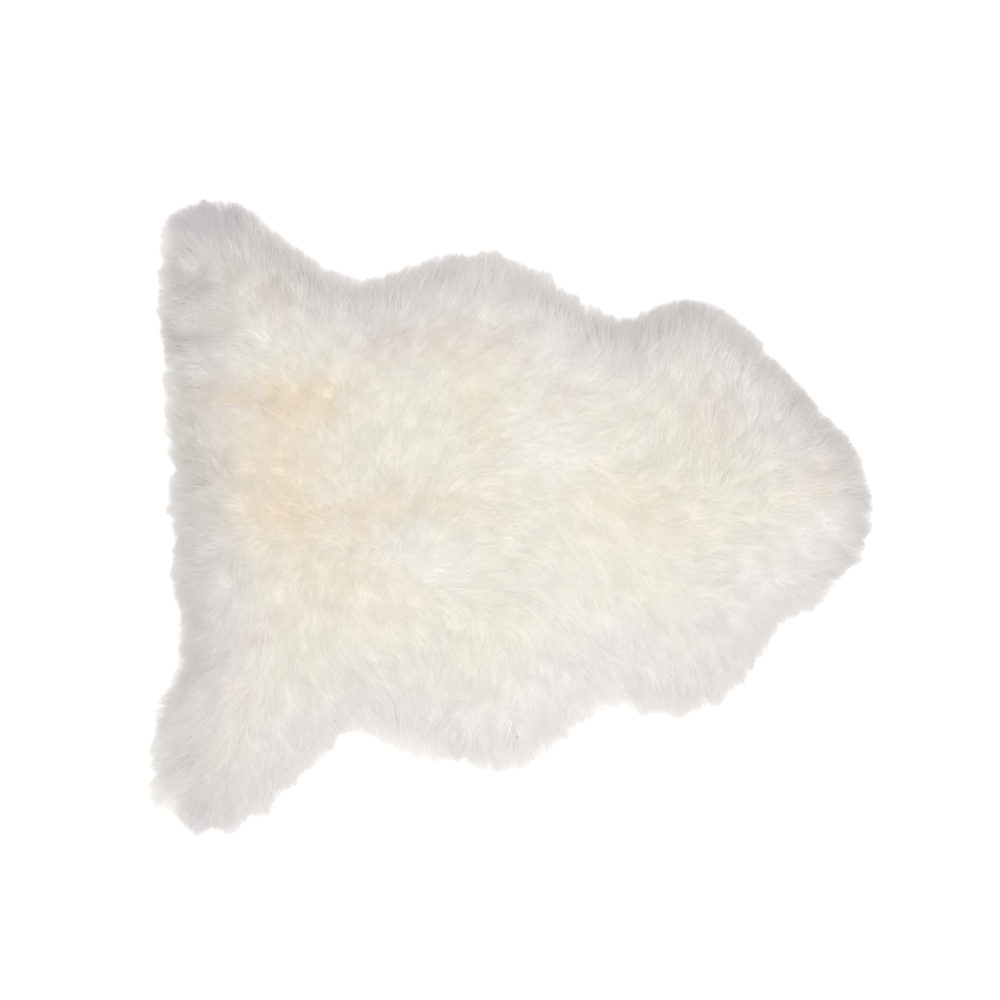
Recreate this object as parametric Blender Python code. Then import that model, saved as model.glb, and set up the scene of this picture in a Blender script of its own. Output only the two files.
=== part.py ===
"""Sheepskin rug, lying flat on the floor with its fleece up.

One skin, tanned whole, with the wool still grown on it, so it is one solid:
a flat underside, a lip where the outermost locks lean over the edge of the
hide and come down to the floor, a soft roll up from that lip, and a crowned
top as deep as the fleece stands, with its main humps and hollows.

Metres, +Z up. The neck points along +X and the two hind legs spread along
+Y and -Y at the -X end. The origin is under the middle of the rug, on the
plane that it lies on.
"""

import math
from collections import namedtuple

import bmesh
import bpy
import numpy as np
from mathutils import Vector
from mathutils.geometry import delaunay_2d_cdt

MM = 0.001

# ---------------------------------------------------------------- dimensions
# All in millimetres.
FLEECE_DEPTH = 47.0    # height of the fleece over the middle of the back
LIP_HEIGHT = 9.0       # height at which the overhanging locks reach furthest
LIP_TUCK = 7.0         # the underside is drawn in this far from the lip
ROLL_WIDTH = 85.0      # from the lip to where the fleece has its full depth
ROLL_POWER = 1.6       # fullness of the roll: 2 is a quarter ellipse

EDGE_STEP = 11.5       # spacing of the points along the edge
ROLL_RINGS = (3.0, 8.0, 15.0, 24.0, 36.0, 52.0)   # distances in from the lip
BACK_STEP = 23.0       # spacing of the points over the back

FLEECE_COLOUR = (0.82, 0.77, 0.66, 1.0)
FLEECE_ROUGHNESS = 0.85

# The plan, cut across the back from the hind toes to the cheeks. upper is
# the edge on the +Y side of the section, and lower the edge on the -Y side.
Section = namedtuple("Section", "name x upper lower")
SECTIONS = (
    Section("hind_toes_outer", -431, 390, -375),
    Section("hind_toes", -389, 406, -402),
    Section("hind_toes_inner", -344, 403, -394),
    Section("shanks", -303, 372, -368),
    Section("hocks", -257, 335, -323),
    Section("flanks", -196, 307, -274),
    Section("flank_rise", -133, 320, -293),
    Section("belly_back", -75, 338, -311),
    Section("belly", -18, 341, -321),
    Section("belly_front", 46, 313, -296),
    Section("girth", 95, 277, -256),
    Section("elbows", 142, 258, -237),
    Section("forelegs_back", 187, 270, -249),
    Section("forelegs", 241, 279, -246),
    Section("forelegs_front", 287, 257, -216),
    Section("shoulders", 335, 208, -157),
    Section("neck_base", 386, 154, -113),
    Section("cheeks", 432, 103, -70),
)

# The two ends of the plan: the end of the neck from its upper cheek down,
# and the edge of the rump between the hind legs from its lower leg up.
End = namedtuple("End", "name x y")
NECK_END = (
    End("neck_upper", 457, 49),
    End("neck_tip", 463, 9),
    End("neck_lower", 457, -28),
)
RUMP_EDGE = (
    End("lower_toe_corner", -456, -357),
    End("lower_heel", -458, -318),
    End("lower_thigh", -449, -238),
    End("lower_waist", -419, -168),
    End("tail_lower", -430, -75),
    End("tail", -435, 22),
    End("upper_waist", -441, 152),
    End("upper_thigh", -449, 280),
    End("upper_heel", -443, 350),
)

# Humps (rise above zero) and hollows (below) that the locks make on the back.
Swell = namedtuple("Swell", "name x y reach rise")
SWELLS = (
    Swell("saddle_hump", 50, 100, 62, 4.5),
    Swell("loin_hump", -107, -40, 60, 4.0),
    Swell("withers_hump", 50, 235, 45, 3.0),
    Swell("belly_hump", -12, -238, 55, 3.5),
    Swell("shoulder_hump", 300, -60, 60, 3.0),
    Swell("neck_hump", 398, 15, 45, 3.0),
    Swell("rump_hump", -262, 135, 75, 3.0),
    Swell("tail_hollow", -390, 45, 48, -5.0),
    Swell("thigh_hollow", -312, -140, 46, -4.0),
    Swell("upper_leg_hollow", -384, 296, 34, -5.5),
    Swell("upper_leg_crease", -402, 222, 32, -5.5),
    Swell("lower_leg_hollow", -400, -262, 36, -4.5),
    Swell("flank_hollow", 72, -185, 42, -4.0),
    Swell("girth_hollow", 158, -160, 34, -3.5),
    Swell("elbow_hollow", 146, 205, 44, -4.0),
    Swell("spine_hollow", -20, 20, 50, -3.0),
)


# ------------------------------------------------------------------ the plan
def landmarks():
    """The named points of the edge, once round, as an array of x and y."""
    ring = [(p.x, p.y) for p in RUMP_EDGE]
    ring += [(s.x, s.upper) for s in SECTIONS]
    ring += [(p.x, p.y) for p in NECK_END]
    ring += [(s.x, s.lower) for s in reversed(SECTIONS)]
    return np.array(ring, dtype=float)


def closed_spline(points, per_span=24):
    """Centripetal Catmull-Rom curve through a closed ring of points."""
    count = len(points)
    out = []
    for i in range(count):
        p0, p1, p2, p3 = (points[(i + k - 1) % count] for k in range(4))
        t0 = 0.0
        t1 = t0 + math.sqrt(np.linalg.norm(p1 - p0))
        t2 = t1 + math.sqrt(np.linalg.norm(p2 - p1))
        t3 = t2 + math.sqrt(np.linalg.norm(p3 - p2))
        for t in np.linspace(t1, t2, per_span, endpoint=False):
            a1 = p0 * (t1 - t) / (t1 - t0) + p1 * (t - t0) / (t1 - t0)
            a2 = p1 * (t2 - t) / (t2 - t1) + p2 * (t - t1) / (t2 - t1)
            a3 = p2 * (t3 - t) / (t3 - t2) + p3 * (t - t2) / (t3 - t2)
            b1 = a1 * (t2 - t) / (t2 - t0) + a2 * (t - t0) / (t2 - t0)
            b2 = a2 * (t3 - t) / (t3 - t1) + a3 * (t - t1) / (t3 - t1)
            out.append(b1 * (t2 - t) / (t2 - t1) + b2 * (t - t1) / (t2 - t1))
    return np.array(out)


def evenly_spaced(ring, step):
    """The same closed ring with its points about one step apart."""
    looped = np.vstack([ring, ring[:1]])
    run = np.r_[0.0, np.cumsum(np.linalg.norm(np.diff(looped, axis=0), axis=1))]
    count = int(round(run[-1] / step))
    at = np.linspace(0.0, run[-1], count, endpoint=False)
    return np.column_stack([np.interp(at, run, looped[:, k]) for k in (0, 1)])


def inward_normals(ring):
    """Unit normals of a ring that runs anticlockwise, pointing in."""
    along = np.roll(ring, -1, axis=0) - np.roll(ring, 1, axis=0)
    along /= np.linalg.norm(along, axis=1, keepdims=True)
    return np.column_stack([-along[:, 1], along[:, 0]])


def distance_to_edge(points, ring):
    """How far each point is from the closed ring."""
    a = ring
    d = np.roll(ring, -1, axis=0) - a
    rel = points[:, None, :] - a[None, :, :]
    t = np.clip((rel * d).sum(2) / (d * d).sum(1), 0.0, 1.0)
    return np.linalg.norm(rel - t[:, :, None] * d, axis=2).min(axis=1)


def is_inside(points, ring):
    """Whether each point is within the closed ring, by counting crossings."""
    a, b = ring, np.roll(ring, -1, axis=0)
    x, y = points[:, :1], points[:, 1:]
    spans = (a[:, 1] > y) != (b[:, 1] > y)
    rise = np.where(b[:, 1] == a[:, 1], 1.0, b[:, 1] - a[:, 1])
    cross = a[:, 0] + (y - a[:, 1]) * (b[:, 0] - a[:, 0]) / rise
    return (spans & (x < cross)).sum(axis=1) % 2 == 1


def plan_edge():
    """The lip in plan, anticlockwise, centred on the origin."""
    ring = evenly_spaced(closed_spline(landmarks()), EDGE_STEP)
    nxt = np.roll(ring, -1, axis=0)
    if (ring[:, 0] * nxt[:, 1] - nxt[:, 0] * ring[:, 1]).sum() < 0:
        ring = ring[::-1]
    return ring - (ring.min(axis=0) + ring.max(axis=0)) / 2


def back_points(edge):
    """Points of the top: rings that follow the edge, then an even spread."""
    normals = inward_normals(edge)
    rows = [edge]
    for depth in ROLL_RINGS:
        ring = edge + normals * depth
        keep = distance_to_edge(ring, edge) > depth * 0.97
        # Further in the rings are shorter, so every other point is enough.
        if depth > 20.0:
            keep &= np.arange(len(ring)) % 2 == 0
        rows.append(ring[keep])
    low, high = edge.min(axis=0), edge.max(axis=0)
    lift = BACK_STEP * math.sqrt(3.0) / 2
    grid = []
    for row, y in enumerate(np.arange(low[1], high[1], lift)):
        for x in np.arange(low[0] + (row % 2) * BACK_STEP / 2, high[0], BACK_STEP):
            grid.append((x, y))
    grid = np.array(grid)
    clear = distance_to_edge(grid, edge) > ROLL_RINGS[-1] + BACK_STEP * 0.5
    rows.append(grid[is_inside(grid, edge) & clear])
    return np.vstack(rows)


# --------------------------------------------------------------- the heights
def fleece_height(points, edge):
    """Height of the top of the fleece over each point of the plan."""
    inward = np.clip(distance_to_edge(points, edge) / ROLL_WIDTH, 0.0, 1.0)
    roll = (1.0 - (1.0 - inward) ** ROLL_POWER) ** (1.0 / ROLL_POWER)
    height = LIP_HEIGHT + (FLEECE_DEPTH - LIP_HEIGHT) * roll
    for s in SWELLS:
        away = ((points[:, 0] - s.x) ** 2 + (points[:, 1] - s.y) ** 2) / s.reach ** 2
        height += s.rise * np.exp(-away) * roll
    return height


def sheepskin_mesh():
    edge = plan_edge()
    points = back_points(edge)
    count = len(edge)

    # A constrained triangulation keeps the edge and fills in the back.
    loop = [(i, (i + 1) % count) for i in range(count)]
    verts, _, faces, origin, _, _ = delaunay_2d_cdt(
        [Vector(p) for p in points], loop, [], 1, 1e-4)
    flat = np.array([tuple(v) for v in verts])
    top_z = fleece_height(flat, edge)

    bm = bmesh.new()
    top = [bm.verts.new((p[0] * MM, p[1] * MM, z * MM))
           for p, z in zip(flat, top_z)]
    for face in faces:
        bm.faces.new([top[i] for i in face])

    # The lip turns under to the flat face that the rug lies on.
    lip = [None] * count
    for index, sources in enumerate(origin):
        for source in sources:
            if source < count:
                lip[source] = top[index]
    tucked = edge + inward_normals(edge) * LIP_TUCK
    sole = [bm.verts.new((p[0] * MM, p[1] * MM, 0.0)) for p in tucked]
    for i in range(count):
        j = (i + 1) % count
        bm.faces.new([sole[i], sole[j], lip[j], lip[i]])
    bm.faces.new(sole)
    bmesh.ops.recalc_face_normals(bm, faces=bm.faces)

    mesh = bpy.data.meshes.new("sheepskin")
    bm.to_mesh(mesh)
    bm.free()
    return mesh


def fleece_material():
    material = bpy.data.materials.new("ivory_fleece")
    material.use_nodes = True
    shader = material.node_tree.nodes["Principled BSDF"]
    shader.inputs["Base Color"].default_value = FLEECE_COLOUR
    shader.inputs["Roughness"].default_value = FLEECE_ROUGHNESS
    shader.inputs["Metallic"].default_value = 0.0
    return material


def main():
    for old in list(bpy.data.objects):
        bpy.data.objects.remove(old, do_unlink=True)

    group = bpy.data.collections.new("sheepskin_rug")
    bpy.context.scene.collection.children.link(group)

    skin = bpy.data.objects.new("sheepskin", sheepskin_mesh())
    skin.data.materials.append(fleece_material())
    skin.data.shade_smooth()
    skin.data.set_sharp_from_angle(angle=math.radians(50.0))
    group.objects.link(skin)


main()
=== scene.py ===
"""Looks of a sheepskin rug: the tanned hide, the dense underwool on it, and
the long fleece as separate locks of strands, on a pale studio floor."""

import math
from collections import namedtuple

import bpy
import numpy as np
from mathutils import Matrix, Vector
from mathutils.geometry import delaunay_2d_cdt
from mathutils.kdtree import KDTree


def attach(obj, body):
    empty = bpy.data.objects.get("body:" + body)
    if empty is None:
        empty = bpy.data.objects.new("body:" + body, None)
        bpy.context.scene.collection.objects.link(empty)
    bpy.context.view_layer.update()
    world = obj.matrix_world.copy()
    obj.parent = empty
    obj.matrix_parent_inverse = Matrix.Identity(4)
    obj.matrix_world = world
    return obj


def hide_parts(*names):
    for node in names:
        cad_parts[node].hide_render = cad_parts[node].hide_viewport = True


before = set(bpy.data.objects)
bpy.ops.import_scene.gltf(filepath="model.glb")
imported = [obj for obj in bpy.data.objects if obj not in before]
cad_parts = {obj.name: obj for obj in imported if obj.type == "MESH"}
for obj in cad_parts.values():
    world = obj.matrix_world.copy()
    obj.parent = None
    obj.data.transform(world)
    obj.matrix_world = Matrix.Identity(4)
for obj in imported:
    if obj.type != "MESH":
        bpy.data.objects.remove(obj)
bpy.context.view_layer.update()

MM = 0.001

# ------------------------------------------------------------------ the plan
# The same tables as the solid's, in millimetres, +X to the neck.
Section = namedtuple("Section", "name x upper lower")
SECTIONS = (
    Section("hind_toes_outer", -431, 390, -375),
    Section("hind_toes", -389, 406, -402),
    Section("hind_toes_inner", -344, 403, -394),
    Section("shanks", -303, 372, -368),
    Section("hocks", -257, 335, -323),
    Section("flanks", -196, 307, -274),
    Section("flank_rise", -133, 320, -293),
    Section("belly_back", -75, 338, -311),
    Section("belly", -18, 341, -321),
    Section("belly_front", 46, 313, -296),
    Section("girth", 95, 277, -256),
    Section("elbows", 142, 258, -237),
    Section("forelegs_back", 187, 270, -249),
    Section("forelegs", 241, 279, -246),
    Section("forelegs_front", 287, 257, -216),
    Section("shoulders", 335, 208, -157),
    Section("neck_base", 386, 154, -113),
    Section("cheeks", 432, 103, -70),
)
End = namedtuple("End", "name x y")
NECK_END = (
    End("neck_upper", 457, 49),
    End("neck_tip", 463, 9),
    End("neck_lower", 457, -28),
)
RUMP_EDGE = (
    End("lower_toe_corner", -456, -357),
    End("lower_heel", -458, -318),
    End("lower_thigh", -449, -238),
    End("lower_waist", -419, -168),
    End("tail_lower", -430, -75),
    End("tail", -435, 22),
    End("upper_waist", -441, 152),
    End("upper_thigh", -449, 280),
    End("upper_heel", -443, 350),
)

LUMP_SHADE = 1.1
RIM_SLOPE = 0.70
FLEECE_DEPTH = 47.0
LIP_HEIGHT = 9.0
ROLL_WIDTH = 85.0
ROLL_POWER = 1.6
EDGE_STEP = 11.5

Swell = namedtuple("Swell", "name x y reach rise")
SWELLS = (
    Swell("saddle_hump", 50, 100, 62, 4.5),
    Swell("loin_hump", -107, -40, 60, 4.0),
    Swell("withers_hump", 50, 235, 45, 3.0),
    Swell("belly_hump", -12, -238, 55, 3.5),
    Swell("shoulder_hump", 300, -60, 60, 3.0),
    Swell("neck_hump", 398, 15, 45, 3.0),
    Swell("rump_hump", -262, 135, 75, 3.0),
    Swell("tail_hollow", -390, 45, 48, -5.0),
    Swell("thigh_hollow", -312, -140, 46, -4.0),
    Swell("upper_leg_hollow", -384, 296, 34, -5.5),
    Swell("upper_leg_crease", -402, 222, 32, -5.5),
    Swell("lower_leg_hollow", -400, -262, 36, -4.5),
    Swell("flank_hollow", 72, -185, 42, -4.0),
    Swell("girth_hollow", 158, -160, 34, -3.5),
    Swell("elbow_hollow", 146, 205, 44, -4.0),
    Swell("spine_hollow", -20, 20, 50, -3.0),
)

# How the fleece lies: heading in degrees from +X towards +Y, how far each
# row reaches, and how much the locks there scatter about it.
Comb = namedtuple("Comb", "name x y heading reach scatter")
COMBS = (
    Comb("upper_toe_outer", -425, 372, 140, 34, 14),
    Comb("upper_toe", -388, 385, 112, 34, 14),
    Comb("upper_toe_inner", -342, 370, 97, 40, 10),
    Comb("upper_shank", -280, 330, 93, 44, 8),
    Comb("upper_hock", -235, 300, 92, 40, 9),
    Comb("upper_heel_lock", -425, 300, 158, 32, 17),
    Comb("upper_thigh_curl", -400, 230, 184, 42, 18),
    Comb("upper_thigh", -375, 165, 172, 42, 22),
    Comb("upper_waist", -405, 110, 138, 36, 20),
    Comb("rump_upper", -410, 40, 172, 40, 18),
    Comb("rump_mid", -410, -30, 184, 42, 15),
    Comb("rump_lower", -405, -100, 200, 44, 8),
    Comb("lower_waist", -385, -170, 218, 46, 12),
    Comb("lower_thigh", -395, -235, 222, 44, 10),
    Comb("lower_leg_out", -415, -300, 205, 44, 10),
    Comb("lower_toe_out", -430, -350, 202, 34, 12),
    Comb("lower_toe", -385, -375, 262, 34, 12),
    Comb("lower_toe_inner", -335, -360, 282, 40, 12),
    Comb("lower_shank", -280, -300, 288, 48, 16),
    Comb("lower_hock", -220, -225, 296, 52, 14),
    Comb("lower_flank", -160, -160, 318, 58, 22),
    Comb("upper_flank", -190, 285, 84, 40, 10),
    Comb("upper_belly_back", -95, 300, 76, 44, 9),
    Comb("upper_belly", -30, 315, 78, 44, 9),
    Comb("upper_belly_front", 45, 280, 101, 44, 12),
    Comb("upper_girth", 105, 240, 92, 44, 14),
    Comb("upper_elbow", 165, 235, 76, 40, 12),
    Comb("upper_foreleg", 235, 255, 80, 40, 12),
    Comb("upper_shoulder", 300, 205, 62, 44, 7),
    Comb("upper_neck_side", 370, 130, 56, 44, 8),
    Comb("upper_cheek", 425, 70, 34, 40, 9),
    Comb("neck_end", 440, 10, 352, 44, 10),
    Comb("lower_cheek", 420, -45, 332, 40, 12),
    Comb("neck_mid", 350, 0, 352, 62, 27),
    Comb("shoulder_mid", 260, -50, 357, 64, 29),
    Comb("shoulder_upper", 260, 110, 82, 70, 26),
    Comb("lower_shoulder", 300, -140, 306, 48, 16),
    Comb("lower_foreleg", 235, -210, 292, 44, 20),
    Comb("lower_foreleg_back", 180, -190, 300, 48, 16),
    Comb("girth_sweep", 100, -150, 304, 56, 20),
    Comb("saddle_sweep_end", 110, -70, 302, 56, 22),
    Comb("saddle_sweep", 60, 0, 322, 52, 19),
    Comb("saddle_sweep_start", -10, 25, 356, 52, 22),
    Comb("inner_sweep_start", -60, -60, 24, 36, 16),
    Comb("inner_sweep", 0, -75, 350, 40, 14),
    Comb("lower_belly_front", 50, -265, 286, 46, 22),
    Comb("lower_belly", -20, -290, 272, 46, 21),
    Comb("lower_belly_back", -110, -280, 262, 46, 21),
    Comb("belly_inner", -40, -190, 262, 60, 26),
    Comb("rump_crown", -260, 60, 150, 90, 35),
    Comb("loin_crown", -150, 110, 60, 90, 35),
    Comb("back_crown", 20, 170, 20, 80, 34),
    Comb("croup", -270, -80, 262, 60, 28),
)


# Tufts and gaps along the rim: how far out past the plan edge the wool
# reaches about each place, less than nothing in a gap, and over what width.
Tuft = namedtuple("Tuft", "name x y out width")
TUFTS = (
    Tuft("upper_toe_peak", -395, 405, 5, 5),
    Tuft("upper_toe_gap", -386, 402, -3, 4),
    Tuft("upper_toe_peak_2", -376, 404, 4, 5),
    Tuft("upper_toe_corner", -440, 367, 4, 14),
    Tuft("upper_toe_edge", -427, 393, 3, 14),
    Tuft("upper_heel_edge", -450, 352, 2, 14),
    Tuft("upper_heel_spike", -450, 345, 4, 8),
    Tuft("upper_heel_gap", -449, 330, -3, 6),
    Tuft("upper_heel_lock", -451, 309, 4, 11),
    Tuft("upper_thigh_lock", -449, 271, 4, 14),
    Tuft("upper_thigh_gap", -445, 215, -3, 24),
    Tuft("upper_thigh_gap_2", -448, 201, -4, 9),
    Tuft("upper_thigh_low", -445, 167, 3, 10),
    Tuft("upper_waist_lock", -442, 115, 5, 28),
    Tuft("tail_gap", -439, 62, -16, 8),
    Tuft("tail_spike", -436, 8, 4, 9),
    Tuft("rump_gap", -434, -30, -3, 22),
    Tuft("rump_lower_lock", -431, -80, 3, 22),
    Tuft("lower_waist_lock", -420, -150, 4, 24),
    Tuft("lower_waist_gap", -432, -200, -3, 14),
    Tuft("lower_thigh_spike", -451, -238, 14, 10),
    Tuft("lower_thigh_spike_2", -455, -256, 8, 9),
    Tuft("lower_heel_gap", -460, -285, -7, 7),
    Tuft("lower_heel_spike", -460, -299, 7, 6),
    Tuft("lower_heel_spike_2", -462, -320, 6, 5),
    Tuft("lower_heel_gap_2", -459, -333, -4, 5),
    Tuft("lower_heel_spike_3", -463, -345, 8, 5),
    Tuft("lower_toe_corner_spike", -462, -362, 9, 5),
    Tuft("lower_toe_corner_spike_2", -450, -371, 6, 6),
    Tuft("lower_toe_corner_tuft", -445, -361, 18, 15),
    Tuft("lower_toe_edge", -420, -394, 6, 26),
    Tuft("lower_toe_spike", -405, -408, 16, 8),
    Tuft("lower_toe_gap", -382, -404, -9, 8),
    Tuft("lower_toe_tuft", -361, -402, 11, 14),
    Tuft("lower_toe_gap_2", -333, -388, -7, 9),
    Tuft("lower_shank_tuft", -319, -381, 10, 12),
    Tuft("lower_shank_gap", -284, -348, -1, 26),
    Tuft("lower_hock_tuft", -250, -311, -1, 14),
    Tuft("lower_hock_gap", -214, -282, -6, 12),
    Tuft("lower_flank_lock", -194, -276, 4, 12),
    Tuft("lower_flank_tuft", -165, -281, 7, 10),
    Tuft("flank_edge", -137, -296, 12, 34),
    Tuft("flank_low_edge", -105, -305, 7, 13),
    Tuft("flank_wisp_1", -142, -298, 8, 4),
    Tuft("flank_wisp_2", -120, -306, 9, 4),
    Tuft("flank_wisp_3", -97, -306, 8, 4),
    Tuft("flank_wisp_4", -80, -313, 7, 4),
    Tuft("belly_gap", -58, -314, -8, 8),
    Tuft("belly_edge_back", -32, -323, 8, 9),
    Tuft("belly_tuft_1", 6, -313, 7, 14),
    Tuft("belly_tuft_2", 44, -295, 9, 14),
    Tuft("belly_low_edge", 5, -317, 6, 40),
    Tuft("belly_edge", 60, -285, 2, 25),
    Tuft("girth_edge", 112, -248, 7, 14),
    Tuft("girth_notch", 79, -268, 7, 9),
    Tuft("belly_tuft_3", 70, -274, 9, 9),
    Tuft("girth_tuft_1", 95, -254, 6, 9),
    Tuft("girth_tuft_2", 125, -238, 4, 10),
    Tuft("elbow_edge", 164, -245, 9, 18),
    Tuft("foreleg_tuft_1", 172, -244, 8, 9),
    Tuft("foreleg_tuft_2", 216, -251, 10, 18),
    Tuft("foreleg_edge", 252, -243, 7, 12),
    Tuft("foreleg_tuft_3", 268, -229, 9, 10),
    Tuft("foreleg_tuft_4", 296, -203, 2, 12),
    Tuft("foreleg_front_low", 306, -192, 4, 10),
    Tuft("foreleg_front_edge", 290, -210, 8, 24),
    Tuft("shoulder_tuft", 322, -171, 8, 12),
    Tuft("shoulder_gap", 352, -143, -5, 15),
    Tuft("neck_base_tuft", 390, -115, 10, 14),
    Tuft("cheek_tuft_1", 405, -99, 7, 14),
    Tuft("cheek_tuft_2", 446, -47, 12, 14),
    Tuft("neck_tuft_1", 455, -14, 6, 14),
    Tuft("neck_tip_edge", 461, 6, 7, 18),
    Tuft("neck_tuft_2", 455, 35, 5, 14),
    Tuft("upper_cheek_edge", 450, 57, 4, 14),
    Tuft("upper_cheek_tuft_1", 443, 71, 8, 12),
    Tuft("upper_cheek_tuft_2", 430, 98, 6, 18),
    Tuft("upper_neck_edge", 379, 159, 4, 30),
    Tuft("upper_shoulder_edge", 344, 193, 3.5, 26),
    Tuft("upper_shoulder_tuft", 312, 229, 5, 28),
    Tuft("upper_shoulder_fill", 321, 212, 4, 6),
    Tuft("upper_shoulder_low", 335, 203, -2.5, 8),
    Tuft("upper_foreleg_tuft_1", 275, 261, 6, 20),
    Tuft("upper_foreleg_edge", 253, 274, 3, 14),
    Tuft("upper_foreleg_tuft_2", 223, 277, 3, 18),
    Tuft("upper_elbow_gap", 160, 261, -7, 16),
    Tuft("upper_girth_tuft_1", 109, 264, 9, 13),
    Tuft("upper_girth_tuft_2", 83, 279, 7, 10),
    Tuft("upper_belly_tuft_1", 48, 309, 7, 12),
    Tuft("upper_belly_peak", -20, 340, 5, 7),
    Tuft("upper_belly_gap", -50, 339, -5, 16),
    Tuft("upper_belly_tuft_2", -94, 332, 4, 14),
)


def landmarks():
    ring = [(p.x, p.y) for p in RUMP_EDGE]
    ring += [(s.x, s.upper) for s in SECTIONS]
    ring += [(p.x, p.y) for p in NECK_END]
    ring += [(s.x, s.lower) for s in reversed(SECTIONS)]
    return np.array(ring, dtype=float)


def closed_spline(points, per_span=24):
    count = len(points)
    out = []
    for i in range(count):
        p0, p1, p2, p3 = (points[(i + k - 1) % count] for k in range(4))
        t0 = 0.0
        t1 = t0 + math.sqrt(np.linalg.norm(p1 - p0))
        t2 = t1 + math.sqrt(np.linalg.norm(p2 - p1))
        t3 = t2 + math.sqrt(np.linalg.norm(p3 - p2))
        for t in np.linspace(t1, t2, per_span, endpoint=False):
            a1 = p0 * (t1 - t) / (t1 - t0) + p1 * (t - t0) / (t1 - t0)
            a2 = p1 * (t2 - t) / (t2 - t1) + p2 * (t - t1) / (t2 - t1)
            a3 = p2 * (t3 - t) / (t3 - t2) + p3 * (t - t2) / (t3 - t2)
            b1 = a1 * (t2 - t) / (t2 - t0) + a2 * (t - t0) / (t2 - t0)
            b2 = a2 * (t3 - t) / (t3 - t1) + a3 * (t - t1) / (t3 - t1)
            out.append(b1 * (t2 - t) / (t2 - t1) + b2 * (t - t1) / (t2 - t1))
    return np.array(out)


def evenly_spaced(ring, step):
    looped = np.vstack([ring, ring[:1]])
    run = np.r_[0.0, np.cumsum(np.linalg.norm(np.diff(looped, axis=0), axis=1))]
    count = int(round(run[-1] / step))
    at = np.linspace(0.0, run[-1], count, endpoint=False)
    return np.column_stack([np.interp(at, run, looped[:, k]) for k in (0, 1)])


def inward_normals(ring):
    along = np.roll(ring, -1, axis=0) - np.roll(ring, 1, axis=0)
    along /= np.linalg.norm(along, axis=1, keepdims=True)
    return np.column_stack([-along[:, 1], along[:, 0]])


def distance_to_edge(points, ring):
    a = ring
    d = np.roll(ring, -1, axis=0) - a
    length2 = (d * d).sum(1)
    out = np.empty(len(points))
    for lo in range(0, len(points), 8192):
        rel = points[lo:lo + 8192, None, :] - a[None, :, :]
        t = np.clip((rel * d).sum(2) / length2, 0.0, 1.0)
        rel -= t[:, :, None] * d
        out[lo:lo + 8192] = np.sqrt((rel * rel).sum(2).min(axis=1))
    return out


def is_inside(points, ring):
    a, b = ring, np.roll(ring, -1, axis=0)
    rise = np.where(b[:, 1] == a[:, 1], 1.0, b[:, 1] - a[:, 1])
    out = np.empty(len(points), bool)
    for lo in range(0, len(points), 8192):
        x, y = points[lo:lo + 8192, :1], points[lo:lo + 8192, 1:]
        spans = (a[:, 1] > y) != (b[:, 1] > y)
        cross = a[:, 0] + (y - a[:, 1]) * (b[:, 0] - a[:, 0]) / rise
        out[lo:lo + 8192] = (spans & (x < cross)).sum(axis=1) % 2 == 1
    return out


def plan_edge():
    ring = evenly_spaced(closed_spline(landmarks()), EDGE_STEP)
    nxt = np.roll(ring, -1, axis=0)
    if (ring[:, 0] * nxt[:, 1] - nxt[:, 0] * ring[:, 1]).sum() < 0:
        ring = ring[::-1]
    return ring - (ring.min(axis=0) + ring.max(axis=0)) / 2


EDGE = plan_edge()


# -------------------------------------------------------------- field lookup
class Field:
    """Values on a fine grid over the plan, read between its points."""

    STEP = 3.0
    X = np.arange(-510.0, 511.0, STEP)
    Y = np.arange(-450.0, 451.0, STEP)

    def __init__(self, values):
        self.values = np.asarray(values, float).reshape(len(self.Y), len(self.X))

    def __call__(self, p):
        u = np.clip((p[:, 0] - self.X[0]) / self.STEP, 0, len(self.X) - 1.001)
        v = np.clip((p[:, 1] - self.Y[0]) / self.STEP, 0, len(self.Y) - 1.001)
        i, j = u.astype(int), v.astype(int)
        fu, fv = u - i, v - j
        a = self.values
        return ((a[j, i] * (1 - fu) + a[j, i + 1] * fu) * (1 - fv)
                + (a[j + 1, i] * (1 - fu) + a[j + 1, i + 1] * fu) * fv)


gx, gy = np.meshgrid(Field.X, Field.Y)
PLACES = np.column_stack([gx.ravel(), gy.ravel()])


def waves(points, size, seed, count=14):
    """Smooth noise of about unit spread with lumps about size across."""
    r = np.random.default_rng(seed)
    out = np.zeros(len(points))
    for _ in range(count):
        angle = r.uniform(0, 2 * math.pi)
        k = 2 * math.pi / (size * r.uniform(0.7, 1.6))
        out += np.sin(points[:, 0] * k * math.cos(angle)
                      + points[:, 1] * k * math.sin(angle)
                      + r.uniform(0, 2 * math.pi))
    return out / math.sqrt(count / 2)


signed = distance_to_edge(PLACES, EDGE)
signed *= np.where(is_inside(PLACES, EDGE), 1.0, -1.0)
depth_in = Field(signed)

grad_y, grad_x = np.gradient(depth_in.values, Field.STEP)


def top_height(inward, places):
    t = np.clip(inward / ROLL_WIDTH, 0.0, 1.0)
    roll = (1.0 - (1.0 - t) ** ROLL_POWER) ** (1.0 / ROLL_POWER)
    height = LIP_HEIGHT + (FLEECE_DEPTH - LIP_HEIGHT) * roll
    for s in SWELLS:
        away = ((places[:, 0] - s.x) ** 2 + (places[:, 1] - s.y) ** 2) / s.reach ** 2
        height += s.rise * np.exp(-away) * roll
    height += 0.8 * waves(places, 46, 11) * roll
    return height


top = Field(top_height(signed, PLACES))


def about(x, y, wide):
    """One at a place in the plan, and falling away around it."""
    return np.exp(-((PLACES[:, 0] - x) ** 2 + (PLACES[:, 1] - y) ** 2) / wide ** 2)


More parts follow.
